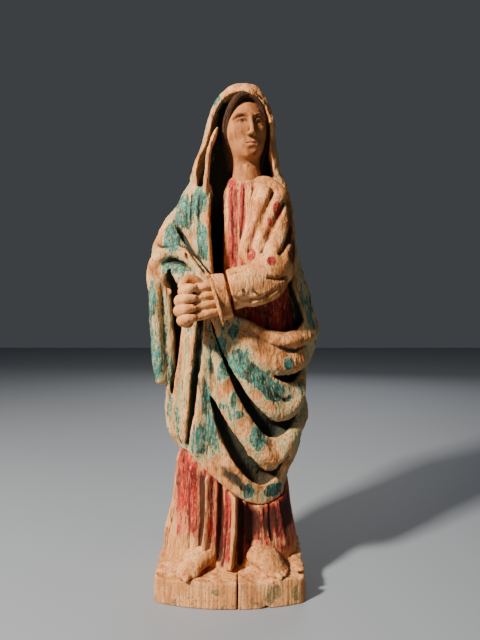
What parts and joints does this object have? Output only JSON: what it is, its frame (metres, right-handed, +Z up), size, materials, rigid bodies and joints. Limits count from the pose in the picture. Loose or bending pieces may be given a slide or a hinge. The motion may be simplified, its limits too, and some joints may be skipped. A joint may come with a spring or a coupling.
{
  "type": "carved wooden madonna statue",
  "caption": "Standing veiled madonna carved in wood, hands clasped, draped mantle over a pleated dress, on a thick square plinth.",
  "frame": {"origin": "centre of the plinth's underside, between its sides and below the middle of the figure", "axes": "+Z up, the figure faces -Y, +X is to the viewer's right when looking at its face"},
  "size_m": [0.1645, 0.1181, 0.48],
  "materials": {
    "bare_wood": "unpainted, dry, vertical grain",
    "mantle_paint": "turquoise paint worn to the wood",
    "dress_paint": "red paint worn to the wood",
    "flesh_paint": "thin flesh paint over wood",
    "dowel_wood": "plain turned",
    "iron": "rusted dark"
  },
  "bodies": {
    "root": {"plinth": "bare_wood", "skirt": "dress_paint", "mantle_body": "mantle_paint", "apron_folds": "mantle_paint", "hip_fold": "mantle_paint", "arm_drape": "mantle_paint", "hood": "mantle_paint", "bodice": "dress_paint", "sleeve": "dress_paint", "cuff": "dress_paint", "hands": "flesh_paint", "head": "flesh_paint", "left_foot": "flesh_paint", "right_foot": "flesh_paint", "left_foot_dowel": "dowel_wood", "right_foot_dowel": "dowel_wood", "plinth_dowel_left": "dowel_wood", "plinth_dowel_right": "dowel_wood", "skirt_dowel_left": "dowel_wood", "skirt_dowel_right": "dowel_wood", "hood_dowel_left": "dowel_wood", "hood_dowel_right": "dowel_wood", "apron_dowel_upper": "dowel_wood", "apron_dowel_lower": "dowel_wood", "hip_dowel_upper": "dowel_wood", "hip_dowel_lower": "dowel_wood", "drape_dowel_upper": "dowel_wood", "drape_dowel_lower": "dowel_wood", "bodice_dowel": "dowel_wood", "neck_dowel": "dowel_wood", "wrist_dowel": "dowel_wood", "sleeve_nail_left": "iron", "sleeve_nail_right": "iron"}
  },
  "joints": []
}
